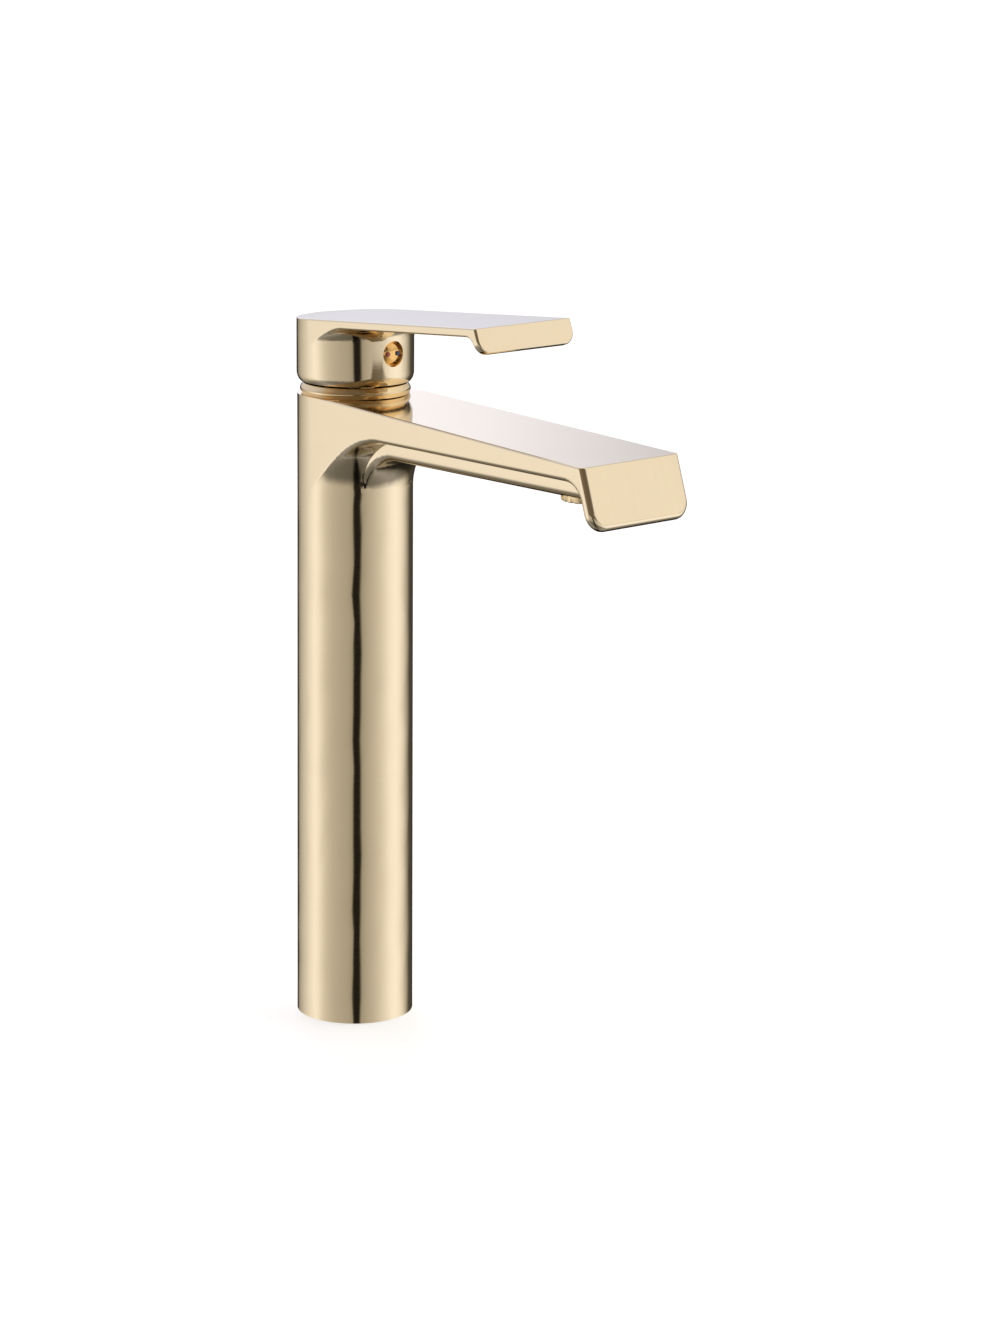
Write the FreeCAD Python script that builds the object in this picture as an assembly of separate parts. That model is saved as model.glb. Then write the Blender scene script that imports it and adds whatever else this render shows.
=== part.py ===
import FreeCAD, Part
import math
import os

# Tall single-lever basin mixer, in millimetres. +Z is up and the spout points along -Y.
# The origin is the centre of the column's foot, on the deck.

# Column and spout casting
column_foot_radius = 25.0
column_head_radius = 24.4
seat_height = 270.0            # flat top of the column, where the trim ring sits
head_height = 44.0             # straight length of the column under that seat
column_bore_radius = 21.4
spout_reach = 164.5            # column axis to the spout's top front edge
spout_flare = 2.3              # how far the tip stands out beyond the column on each side
spout_slope_deg = 2.7
spout_rise = 0.8               # height of the sloping top over the seat, at the column axis
spout_underside = seat_height - 13.7
flank_round = 2.4
arch_radius = 25.0
spine_bottom = seat_height - 23.2
spine_half_width = 14.0
spine_round = 4.0
spine_arch_radius = 16.0
lip_length = 25.2
lip_lean_deg = 18.0
lip_thickness = 5.2
lip_inner_round = 10.0
lip_corner_round = 7.5
edge_round = 0.7
arch_split = 0.85             # share of an arch's height over which its flanks are rounded

# Waterways
block_bottom = seat_height - 66.0           # underside of the solid valve block inside the column
inlet_thread_radius = 4.5      # M10 x 1
inlet_thread_length = 10.0
inlet_bore_radius = 2.8
inlet_x = 7.5
port_y = 5.5
outlet_port_radius = 3.2
duct_half_width = 3.0
duct_bottom = seat_height - 54.0
duct_height = 5.0
riser_half_width = 5.0
riser_depth = 3.4
riser_wall = 1.2
throat_bottom = seat_height - 26.0          # where the riser widens forward under the spout channel
throat_reach = 28.0
channel_half_width = 9.5
channel_floor = seat_height - 20.4
channel_height = 8.8
feed_half_width = 7.0
feed_wall = 1.2
feed_radius = 9.0

# Foot
foot_insert_height = 10.0
stud_hole_radius = 2.5         # M6 tapping size
stud_spacing = 29.0
hose_opening_half_length = 12.5
hose_opening_radius = 5.0
gasket_inner_radius = 18.2
gasket_width = 2.0
gasket_height = 2.2

# Cartridge
thread_gap = 0.05
running_gap = 0.06
slide_gap = 0.15
ball_gap = 0.3
clear_gap = 0.3
film_gap = 0.02
cartridge_radius = 17.5
cartridge_gap = 0.15
pin_gap = 0.05
cartridge_floor = seat_height - 43.5
cartridge_base_height = 5.0
seal_width = 1.5
seal_height = 1.8
locating_pin_radius = 1.4
locating_pin_length = 2.0
locating_pin_x = 13.0
disc_port_radius = 2.4
fixed_disc_height = 3.5
moving_disc_radius = 10.6
moving_disc_height = 4.0
mixing_pocket_depth = 2.0
mixing_pocket_radius = 9.2
mixing_pocket_front = 2.6      # how far the pocket reaches in front of the axis when shut
housing_wall = 2.4
housing_shoulder = seat_height - 18.0
collar_radius = 13.0
collar_top = seat_height - 11.0
carrier_plate_height = 2.0
carrier_half_width = 6.9
carrier_half_length = 8.0
carrier_height = 8.0
turret_flange_radius = 14.5
turret_flange_top = seat_height - 20.5
turret_neck_radius = 9.9
turret_top = seat_height - 8.0
spindle_slot_front = 6.2
spindle_slot_back = 7.0
pivot_pin_half_length = 9.4
turret_turn_deg = 45.0
stop_lug_radius = 11.5
stop_lug_deg = 8.0
limiter_height = 2.0
limiter_slack_deg = 0.5
ring_seal_depth = 1.0
ring_seal_height = 1.6
ring_seal_bottom = seat_height - 13.7
nut_ring_height = 6.0
nut_hex_height = 6.0
nut_hex_across = 31.0
nut_thread_radius = 19.0

# Lever
pivot_height = seat_height - 16.0
pivot_pin_radius = 1.5
rest_lean_deg = 10.0           # the spindle leans towards the spout when the valve is shut
spindle_width = 7.5
spindle_length = 39.0
spindle_arm = 9.0              # pivot to the centre of the ball that drives the disc
spindle_ball_radius = 3.0
spindle_arm_radius = 2.5
spindle_shoulder = 3.0

# Trim ring
ring_inner_radius = 17.2
ring_bulge_radius = 23.4
ring_bulge_height = 2.3
ring_top_radius = 22.0
ring_foot_radius = 22.8
ring_height = 4.6
ring_spigot_length = 5.0

# Handle
hub_radius = 24.6
hub_bottom = seat_height + 5.5
hub_bottom_radius = 23.3
hub_round_height = 3.6
skirt_radius = 22.0
hub_ceiling = seat_height + 27.0
handle_height = seat_height + 32.7          # top of the handle over the column axis
handle_slope_deg = 4.0
handle_reach = 102.4
handle_flare = 1.4
handle_thickness = 3.55
handle_arch_radius = 7.0
handle_lip_length = 10.3
handle_lip_lean_deg = 20.0
handle_lip_inner_round = 4.5
handle_lip_corner_round = 5.5
handle_flank_round = 1.0
handle_edge_round = 0.6
boss_radius = 8.2
boss_start = 26.0
lug_half_width = 6.5
lug_bottom = seat_height + 11.5
button_height = seat_height + 18.7
button_radius = 5.4
button_recess = 0.8
button_thickness = 2.4
button_stem_radius = 3.6
button_stem_length = 2.6
mark_radius = 1.0
mark_height = 0.3
mark_offset = 2.6
screw_radius = 2.5
screw_length = 7.0
screw_socket_across = 2.5
screw_socket_depth = 3.0

# Aerator
aerator_centre = spout_reach - 22.5
aerator_radius = 11.6
aerator_drop = 2.2
aerator_seat = seat_height - 16.4
aerator_wall = 1.4
aerator_lip = 1.8
aerator_lip_height = 1.2
aerator_gasket_height = 1.6
diffuser_height = 2.4
diffuser_hole_radius = 0.8
diffuser_inner_holes = 7
diffuser_outer_holes = 14
diffuser_outer_share = 0.75    # where the outer holes sit, as a share of the inner radius
diffuser_skirt_wall = 1.0
screen_height = 0.5
screen_hole_radius = 0.75
screen_pitch = 2.4
screen_hole_reach = 8.0
regulator_height = 2.4
regulator_hole_radius = 0.9
regulator_holes = 8
regulator_ring_radius = 5.5
regulator_ring_thickness = 1.4
regulator_groove_side = 0.6

UP = FreeCAD.Vector(0, 0, 1)
RIGHT = FreeCAD.Vector(1, 0, 0)
BACK = FreeCAD.Vector(0, 1, 0)
REACH = 600.0                  # longer than any tool body has to be
OVER = 1.0                  # how far a cutting tool runs past the face it opens

spout_fall = math.tan(math.radians(spout_slope_deg))
handle_climb = math.tan(math.radians(handle_slope_deg))


def vec(x, y, z):
    return FreeCAD.Vector(x, y, z)


def rod(radius, bottom, top, x=0.0, y=0.0):
    """An upright cylinder between two heights."""
    return Part.makeCylinder(radius, top - bottom, vec(x, y, bottom), UP)


def tube(outer, inner, bottom, top, x=0.0, y=0.0):
    return rod(outer, bottom, top, x, y).cut(rod(inner, bottom - OVER, top + OVER, x, y))


def block(low, high):
    size = high - low
    return Part.makeBox(size.x, size.y, size.z, low)


def rounded_wire(corners, place):
    """A closed wire through (u, v, radius) corners, each rounded; place(u, v) gives the 3-D point."""
    points = [FreeCAD.Vector(u, v, 0) for u, v, _ in corners]
    ends = []
    for i, (_, _, radius) in enumerate(corners):
        here = points[i]
        before = (points[i - 1] - here).normalize()
        after = (points[(i + 1) % len(points)] - here).normalize()
        half = before.getAngle(after) / 2
        if radius == 0:
            ends.append((here, None, here))
            continue
        run = radius / math.tan(half)
        middle = (before + after).normalize() * (radius / math.sin(half) - radius)
        ends.append((here + before * run, here + middle, here + after * run))
    edges = []
    for i, (start, middle, end) in enumerate(ends):
        if middle is not None:
            edges.append(Part.Arc(*[place(p.x, p.y) for p in (start, middle, end)]).toShape())
        following = ends[(i + 1) % len(ends)][0]
        if end.distanceToPoint(following) > 1e-6:
            segment = Part.LineSegment(place(end.x, end.y), place(following.x, following.y))
            edges.append(segment.toShape())
    return Part.Wire(edges)


def side_slab(corners):
    """A side outline of (distance in front of the axis, height, radius), carried across the full width."""
    wire = rounded_wire(corners, lambda d, z: vec(-REACH / 2, -d, z))
    return Part.Face(wire).extrude(RIGHT * REACH)


def plan_prism(radius, flare, reach, bottom, top):
    """A round rear of the given radius with straight sides, tangent to it, that reach out to a wider tip."""
    tip = FreeCAD.Vector(radius + flare, -reach, 0)
    angle = math.atan2(-tip.y, tip.x) - math.acos(radius / tip.Length)
    touch = FreeCAD.Vector(radius * math.cos(angle), -radius * math.sin(angle), 0)
    overrun = (tip - touch).normalize() * 30.0
    end = tip + overrun
    right = [vec(p.x, p.y, bottom) for p in (touch, end)]
    left = [vec(-p.x, p.y, bottom) for p in (end, touch)]
    arc = Part.Arc(left[1], vec(0, radius, bottom), right[0]).toShape()
    lines = Part.makePolygon([right[0], right[1], left[0], left[1]]).Edges
    return Part.Face(Part.Wire([arc] + lines)).extrude(UP * (top - bottom))


def same_plane(edge, point, normal):
    return all(abs((p - point).dot(normal)) < 0.01 for p in edge.discretize(5))


def tongue(radius, flare, reach, top_at, under_at, bottom, lip, arch, rounds):
    """A round post that sweeps out on an arch into a flat tongue with a leaning lip."""
    length, lean_deg, thickness, inner_round, corner_round = lip
    flank_radius, edge_radius = rounds
    behind = -2 * radius
    tip = (reach, top_at(reach))
    outer, inner = lean(*tip, length, lean_deg, thickness)
    tilt = math.tan(math.radians(lean_deg))
    drop = under_at(0) - inner[1]
    climb = under_at(1) - under_at(0)
    root = (inner[0] - tilt * drop) / (1 + tilt * climb)
    roof = top_at(reach) + 2 * radius
    clear = root - 2 * inner_round
    slab = side_slab([(behind, top_at(behind), 0), (*tip, 0), (*outer, 0), (*inner, 0),
                      (root, under_at(root), inner_round), (clear, under_at(clear), 0),
                      (clear, bottom, 0), (behind, bottom, 0)])
    plate = side_slab([(behind, roof, 0), (REACH, roof, 0), (REACH, under_at(REACH), 0),
                       (behind, under_at(behind), 0)])
    post = rod(radius, bottom, roof).fuse(plate).removeSplitter()
    ring = [e for e in post.Edges if on_wall(e, radius) and bottom + 1 < e.CenterOfMass.z < roof - 1]
    body = post.makeFillet(arch, ring)
    lip_zone = block(vec(-REACH, -REACH, inner[1] - radius), vec(REACH, -clear, roof))
    body = body.fuse(lip_zone).common(plan_prism(radius, flare, reach, bottom, roof)).common(slab)
    body = body.removeSplitter().Solids[0]
    angle = math.radians(lean_deg)
    along = vec(0, -math.sin(angle), -math.cos(angle))
    normal = vec(0, -math.cos(angle), math.sin(angle))
    foot = vec(0, -outer[0], outer[1])
    corners = [e for e in body.Edges if same_plane(e, foot, along) and e.Length < 2 * thickness]
    body = body.makeFillet(corner_round, corners)
    above = block(vec(-REACH, -REACH, under_at(radius) - arch_split * arch), vec(REACH, REACH, roof))
    head = body.common(above).removeSplitter().Solids[0]
    inner_point = vec(0, -inner[0], inner[1])
    low = [e for e in head.Edges if lower_edge(e, inner_point, normal, under_at, radius)]
    head = head.makeFillet(flank_radius, low)
    high = [e for e in head.Edges if same_plane(e, foot, normal) or top_side(e, top_at, radius, reach)]
    return head.makeFillet(edge_radius, high).fuse(body.cut(above))


def lower_edge(edge, inner_point, normal, under_at, radius):
    """True on the lower edges of a tongue's flanks, along its arch and round the back of its lip."""
    middle = edge.discretize(3)[1]
    distance = -middle.y
    if same_plane(edge, inner_point, normal):
        straight = abs(middle.x) < 1 and middle.z > inner_point.z + 1
        return not straight
    on_flank = abs(middle.x) > radius - 0.5 and distance > 1
    kind = type(edge.Curve).__name__
    if not on_flank or middle.z > under_at(distance) + 0.01:
        return False
    return kind in ("BSplineCurve", "Ellipse") or abs(middle.z - under_at(distance)) < 0.01


def top_side(edge, top_at, radius, reach):
    """True on the two straight sides of a tongue's top."""
    points = edge.discretize(5)
    level = all(abs(p.z - top_at(-p.y)) < 0.01 for p in points)
    return level and edge.Length > reach / 2 and abs(points[2].x) > 1


def on_wall(edge, radius):
    points = edge.discretize(9)
    return all(abs(math.hypot(p.x, p.y) - radius) < 0.01 for p in points) and edge.Length > 3 * radius


def spout_top(distance):
    return seat_height + spout_rise - distance * spout_fall


def handle_top(distance):
    return handle_height + distance * handle_climb


def lean(distance, height, length, lean_deg, thickness):
    """The lower outer and lower inner corners of a lip that leans outwards, from its top outer corner."""
    tilt = math.radians(lean_deg)
    outer = (distance + length * math.sin(tilt), height - length * math.cos(tilt))
    inner = (outer[0] - thickness * math.cos(tilt), outer[1] - thickness * math.sin(tilt))
    return outer, inner


def along_y(radius, start, end, x=0.0, z=0.0):
    """A cylinder lying along Y, between two distances in front of the axis."""
    return Part.makeCylinder(radius, end - start, vec(x, -end, z), BACK)


def sector(radius, half_deg, bottom, top):
    """A wedge of a cylinder, centred on the rear of the axis."""
    start = vec(math.sin(math.radians(half_deg)), math.cos(math.radians(half_deg)), 0)
    wedge = Part.makeCylinder(radius, top - bottom, vec(0, 0, 0), UP, 2 * half_deg)
    wedge.rotate(vec(0, 0, 0), UP, math.degrees(math.atan2(start.y, start.x)))
    wedge.translate(vec(0, 0, bottom))
    return wedge


def leaned(shape):
    """Takes a shape drawn about the pivot, standing upright, to the lever's closed position."""
    placed = shape.copy()
    placed.rotate(vec(0, 0, 0), RIGHT, rest_lean_deg)
    placed.translate(vec(0, 0, pivot_height))
    return placed


def spin(points):
    """A ring turned from (radius, height) points; two more numbers are the middle of an arc."""
    edges = []
    previous = points[-1]
    start = vec(previous[0], 0, previous[1])
    for point in points:
        end = vec(point[0], 0, point[1])
        if len(point) == 4:
            edges.append(Part.Arc(start, vec(point[2], 0, point[3]), end).toShape())
        else:
            edges.append(Part.LineSegment(start, end).toShape())
        start = end
    return Part.Face(Part.Wire(edges)).revolve(vec(0, 0, 0), UP, 360)


def ring_of(shape_at, count, radius, x=0.0, y=0.0):
    """Copies of a small tool spaced evenly round a circle."""
    turns = [2 * math.pi * i / count for i in range(count)]
    return [shape_at(x + radius * math.cos(t), y + radius * math.sin(t)) for t in turns]


head_bottom = seat_height - head_height
chamber_radius = cartridge_radius + cartridge_gap
cavity_radius = cartridge_radius - housing_wall
base_top = cartridge_floor + cartridge_base_height
fixed_disc_top = base_top + fixed_disc_height
moving_disc_bottom = fixed_disc_top + film_gap
moving_disc_top = moving_disc_bottom + moving_disc_height
turret_bottom = moving_disc_top + carrier_plate_height + ball_gap
rest_lean = math.radians(rest_lean_deg)
disc_y = spindle_arm * math.sin(rest_lean)
ball_height = pivot_height - spindle_arm * math.cos(rest_lean)
nut_top = housing_shoulder + nut_ring_height + nut_hex_height
inlets = [(inlet_x, -port_y, inlet_bore_radius), (-inlet_x, -port_y, inlet_bore_radius)]
outlet = (0, port_y, outlet_port_radius)
aerator_bottom = spine_bottom - aerator_drop
aerator_top = aerator_seat - aerator_gasket_height
aerator_inner = aerator_radius - aerator_wall
screen_bottom = aerator_bottom + aerator_lip_height
diffuser_bottom = aerator_top - regulator_height - diffuser_height
well_radius = aerator_radius + thread_gap
button_face = hub_radius - button_recess
button_back = button_face - button_thickness
stem_end = button_back - button_stem_length
parts = {}


def make_spine():
    """The channel housing under the spout, swept into the column on its own arch."""
    plate = block(vec(-REACH, -REACH, spine_bottom), vec(REACH, REACH, seat_height))
    post = rod(column_head_radius, head_bottom, seat_height).fuse(plate).removeSplitter()
    ring = [e for e in post.Edges if on_wall(e, column_head_radius) and head_bottom + 1 < e.CenterOfMass.z]
    ring = [e for e in ring if e.CenterOfMass.z < seat_height - 1]
    flare = post.makeFillet(spine_arch_radius, ring)
    low = vec(-spine_half_width, -spout_reach, head_bottom)
    bar = flare.common(block(low, vec(spine_half_width, 0, spout_underside + OVER)))
    split = spine_bottom - arch_split * spine_arch_radius
    above = block(vec(-REACH, -REACH, split), vec(REACH, REACH, seat_height))
    upper = bar.common(above).removeSplitter().Solids[0]
    middles = [(e, e.discretize(3)[1]) for e in upper.Edges]
    sides = [e for e, p in middles if abs(abs(p.x) - spine_half_width) < 0.01 and p.y < -column_head_radius
             and split + 0.1 < p.z < spine_bottom + 0.01]
    sides = [e for e in sides if not same_plane(e, vec(0, -spout_reach, 0), BACK)]
    return upper.makeFillet(spine_round, sides).fuse(bar.cut(above))


def make_body_casting():
    lip = (lip_length, lip_lean_deg, lip_thickness, lip_inner_round, lip_corner_round)
    spout = tongue(column_head_radius, spout_flare, spout_reach, spout_top, lambda d: spout_underside,
                   head_bottom, lip, arch_radius, (flank_round, edge_round))
    foot = Part.makeCone(column_foot_radius, column_head_radius, head_bottom)
    body = spout.fuse([foot, make_spine()])
    body = body.cut(block(vec(-REACH, -REACH, seat_height), vec(REACH, REACH, seat_height + REACH)))
    tools = [rod(column_bore_radius, -OVER, block_bottom),
             rod(chamber_radius, cartridge_floor, housing_shoulder + OVER),
             rod(nut_thread_radius, housing_shoulder, seat_height + OVER)]
    for x, y, radius in inlets:
        tools.append(rod(inlet_thread_radius, block_bottom - OVER, block_bottom + inlet_thread_length, x, y))
        tools.append(rod(radius, block_bottom, cartridge_floor + OVER, x, y))
    riser_inner = chamber_radius + riser_wall
    riser_outer = riser_inner + riser_depth
    throat_top = housing_shoulder - riser_wall
    channel_start = nut_thread_radius + riser_wall
    channel_end = aerator_centre - well_radius - feed_wall
    channel_top = channel_floor + channel_height
    tools += [rod(outlet_port_radius, duct_bottom, cartridge_floor + OVER, 0, port_y),
              block(vec(-duct_half_width, -riser_outer, duct_bottom),
                    vec(duct_half_width, port_y, duct_bottom + duct_height)),
              block(vec(-riser_half_width, -riser_outer, duct_bottom),
                    vec(riser_half_width, -riser_inner, throat_top)),
              block(vec(-riser_half_width, -throat_reach, throat_bottom),
                    vec(riser_half_width, -riser_inner, throat_top)),
              block(vec(-channel_half_width, -channel_end, channel_floor),
                    vec(channel_half_width, -channel_start, channel_top)),
              block(vec(-feed_half_width, -aerator_centre, aerator_seat + feed_wall),
                    vec(feed_half_width, -channel_end, channel_top)),
              rod(feed_radius, aerator_seat - OVER, channel_top, 0, -aerator_centre),
              rod(well_radius, spine_bottom - OVER, aerator_seat, 0, -aerator_centre)]
    pin_hole = locating_pin_radius + pin_gap
    pin_floor = cartridge_floor - locating_pin_length - clear_gap
    for x in (-locating_pin_x, locating_pin_x):
        tools.append(rod(pin_hole, pin_floor, cartridge_floor + OVER, x))
    return body.cut(tools).removeSplitter()


def make_foot():
    insert = rod(column_bore_radius, 0, foot_insert_height)
    half = hose_opening_half_length - hose_opening_radius
    insert_top = foot_insert_height + OVER
    slot = block(vec(-half, -port_y - hose_opening_radius, -OVER),
                 vec(half, -port_y + hose_opening_radius, insert_top))
    ends = [rod(hose_opening_radius, -OVER, insert_top, x, -port_y) for x in (-half, half)]
    studs = [rod(stud_hole_radius, -OVER, insert_top, 0, y) for y in (-stud_spacing / 2, stud_spacing / 2)]
    groove = tube(gasket_inner_radius + gasket_width, gasket_inner_radius, -OVER, gasket_height)
    parts["foot_insert"] = insert.cut([slot, groove] + ends + studs)
    parts["foot_gasket"] = tube(gasket_inner_radius + gasket_width, gasket_inner_radius, 0, gasket_height)


def make_cartridge():
    ports = inlets + [outlet]
    base = rod(cartridge_radius, cartridge_floor, base_top)
    seals = []
    for x, y, radius in ports:
        seals.append(tube(radius + seal_width, radius, cartridge_floor, cartridge_floor + seal_height, x, y))
        base = base.cut(rod(radius, cartridge_floor - OVER, base_top + OVER, x, y))
        seal_top = cartridge_floor + seal_height
        base = base.cut(rod(radius + seal_width, cartridge_floor - OVER, seal_top, x, y))
    for x in (-locating_pin_x, locating_pin_x):
        pin_low = cartridge_floor - locating_pin_length
        base = base.fuse(rod(locating_pin_radius, pin_low, cartridge_floor + OVER, x))
    parts["cartridge_base"] = base.removeSplitter()
    parts["port_seals"] = Part.makeCompound(seals)
    holes = [rod(disc_port_radius, base_top - OVER, fixed_disc_top + OVER, x, y) for x, y, _ in ports]
    parts["fixed_disc"] = rod(cavity_radius - thread_gap, base_top, fixed_disc_top).cut(holes)

    pocket_top = moving_disc_bottom + mixing_pocket_depth
    pocket = rod(mixing_pocket_radius, moving_disc_bottom - OVER, pocket_top, 0, disc_y)
    pocket = pocket.common(block(vec(-REACH, -mixing_pocket_front, 0), vec(REACH, REACH, REACH * 2)))
    parts["moving_disc"] = rod(moving_disc_radius, moving_disc_bottom, moving_disc_top, 0, disc_y).cut(pocket)
    carrier = rod(moving_disc_radius, moving_disc_top, moving_disc_top + carrier_plate_height, 0, disc_y)
    carrier = carrier.fuse(block(
        vec(-carrier_half_width, disc_y - carrier_half_length, moving_disc_top),
        vec(carrier_half_width, disc_y + carrier_half_length, moving_disc_top + carrier_height)))
    socket_floor = ball_height - spindle_ball_radius - ball_gap
    socket_top = moving_disc_top + carrier_height + OVER
    socket = rod(spindle_ball_radius + ball_gap, socket_floor, socket_top, 0, disc_y)
    parts["disc_carrier"] = carrier.cut(socket)

    housing = rod(cartridge_radius, base_top, housing_shoulder).fuse(rod(collar_radius, base_top, collar_top))
    housing = housing.cut(rod(cavity_radius, base_top - OVER, turret_flange_top + pin_gap * 2))
    parts["cartridge_housing"] = housing.cut(rod(turret_neck_radius + running_gap, base_top, collar_top + OVER))

    nut = tube(nut_thread_radius - thread_gap, collar_radius + clear_gap, housing_shoulder,
               housing_shoulder + nut_ring_height)
    corner = nut_hex_across / 2 / math.cos(math.radians(30))
    hexagon = [vec(corner * math.cos(math.radians(60 * i)), corner * math.sin(math.radians(60 * i)), 0)
               for i in range(7)]
    hexagon = Part.Face(Part.makePolygon(hexagon)).extrude(UP * nut_hex_height)
    hexagon.translate(vec(0, 0, nut_top - nut_hex_height))
    bore = rod(collar_radius + clear_gap, housing_shoulder - OVER, nut_top + OVER)
    parts["cartridge_nut"] = nut.fuse(hexagon).cut(bore).removeSplitter()

    limiter_top = collar_top + limiter_height
    limiter = tube(collar_radius, turret_neck_radius + clear_gap, collar_top, limiter_top)
    window = turret_turn_deg + stop_lug_deg + limiter_slack_deg
    gate = sector(stop_lug_radius + clear_gap, window, collar_top - OVER, limiter_top + OVER)
    parts["temperature_limiter"] = limiter.cut(gate)


def make_turret():
    flange = rod(turret_flange_radius, turret_bottom, turret_flange_top)
    neck = rod(turret_neck_radius, turret_bottom, turret_top)
    lug_low = collar_top + slide_gap
    lug = sector(stop_lug_radius, stop_lug_deg, lug_low, collar_top + limiter_height - slide_gap)
    turret = flange.fuse([neck, lug])
    half = carrier_half_width + slide_gap
    channel_top = moving_disc_top + carrier_height + ball_gap
    slot = spindle_width / 2 + slide_gap
    pin = Part.makeCylinder(pivot_pin_radius, 2 * pivot_pin_half_length,
                            vec(-pivot_pin_half_length, 0, pivot_height), RIGHT)
    groove = tube(turret_neck_radius + OVER, turret_neck_radius - ring_seal_depth,
                  ring_seal_bottom, ring_seal_bottom + ring_seal_height)
    parts["turret"] = turret.cut([
        block(vec(-half, -REACH, turret_bottom - OVER), vec(half, REACH, channel_top)),
        block(vec(-slot, -spindle_slot_front, turret_bottom), vec(slot, spindle_slot_back, turret_top + OVER)),
        pin, groove])
    parts["turret_seal"] = tube(turret_neck_radius, turret_neck_radius - ring_seal_depth,
                                ring_seal_bottom, ring_seal_bottom + ring_seal_height)
    parts["pivot_pin"] = pin


def make_lever():
    half = spindle_width / 2
    square = block(vec(-half, -half, -spindle_shoulder), vec(half, half, spindle_length))
    arm = rod(spindle_arm_radius, -spindle_arm, 0)
    ball = Part.makeSphere(spindle_ball_radius, vec(0, 0, -spindle_arm))
    eye = Part.makeCylinder(pivot_pin_radius + running_gap, REACH, vec(-REACH / 2, 0, 0), RIGHT)
    parts["spindle"] = leaned(square.fuse([arm, ball]).cut(eye))

    thick = handle_thickness / math.cos(math.radians(handle_slope_deg))
    lip = (handle_lip_length, handle_lip_lean_deg, handle_thickness, handle_lip_inner_round,
           handle_lip_corner_round)
    handle = tongue(hub_radius, handle_flare, handle_reach, handle_top, lambda d: handle_top(d) - thick,
                    hub_bottom, lip, handle_arch_radius, (handle_flank_round, handle_edge_round))
    step = hub_radius - hub_bottom_radius
    round_radius = (step ** 2 + hub_round_height ** 2) / (2 * step)
    turn = math.asin(hub_round_height / round_radius) / 2
    round_top = hub_bottom + hub_round_height
    middle = (hub_radius - round_radius * (1 - math.cos(turn)), round_top - round_radius * math.sin(turn))
    trim = spin([(hub_bottom_radius, hub_bottom - OVER), (hub_bottom_radius, hub_bottom),
                 (hub_radius, round_top, *middle), (hub_radius + OVER, round_top),
                 (hub_radius + OVER, hub_bottom - OVER)])
    boss = leaned(rod(boss_radius, boss_start, spindle_length + hub_radius))
    lug = block(vec(-lug_half_width, -hub_radius, lug_bottom), vec(lug_half_width, 0, hub_ceiling + OVER))
    cavity = rod(skirt_radius, hub_bottom - OVER, hub_ceiling).cut([boss, lug])
    fit = half + thread_gap
    socket = leaned(block(vec(-fit, -fit, boss_start - OVER), vec(fit, fit, spindle_length + thread_gap)))
    tip = (button_height - pivot_height) * math.tan(rest_lean) + half / math.cos(rest_lean)
    tip += screw_radius * math.tan(rest_lean) + thread_gap
    parts["handle"] = handle.cut([
        trim, cavity, socket,
        along_y(button_radius, button_back, 2 * hub_radius, 0, button_height),
        along_y(button_stem_radius, stem_end, 2 * hub_radius, 0, button_height),
        along_y(screw_radius, boss_radius, 2 * hub_radius, 0, button_height)])
    screw = along_y(screw_radius, tip, tip + screw_length, 0, button_height)
    corner = screw_socket_across / 2 / math.cos(math.radians(30))
    hexagon = [vec(corner * math.cos(math.radians(60 * i)), -tip - screw_length,
                   button_height + corner * math.sin(math.radians(60 * i))) for i in range(7)]
    hexagon = Part.Face(Part.makePolygon(hexagon)).extrude(BACK * screw_socket_depth)
    parts["grub_screw"] = screw.cut(hexagon)
    button = along_y(button_radius, button_back, button_face, 0, button_height)
    parts["index_button"] = button.fuse(along_y(button_stem_radius, stem_end, button_back, 0, button_height))
    for name, x in (("hot_mark", -mark_offset), ("cold_mark", mark_offset)):
        parts[name] = along_y(mark_radius, button_face, button_face + mark_height, x, button_height)


def make_trim_ring():
    top = seat_height + ring_height
    spigot = nut_thread_radius - thread_gap
    parts["trim_ring"] = spin([
        (ring_inner_radius, top), (ring_inner_radius, seat_height - ring_spigot_length),
        (spigot, seat_height - ring_spigot_length), (spigot, seat_height), (ring_foot_radius, seat_height),
        (ring_top_radius, top, ring_bulge_radius, seat_height + ring_bulge_height)])


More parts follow.
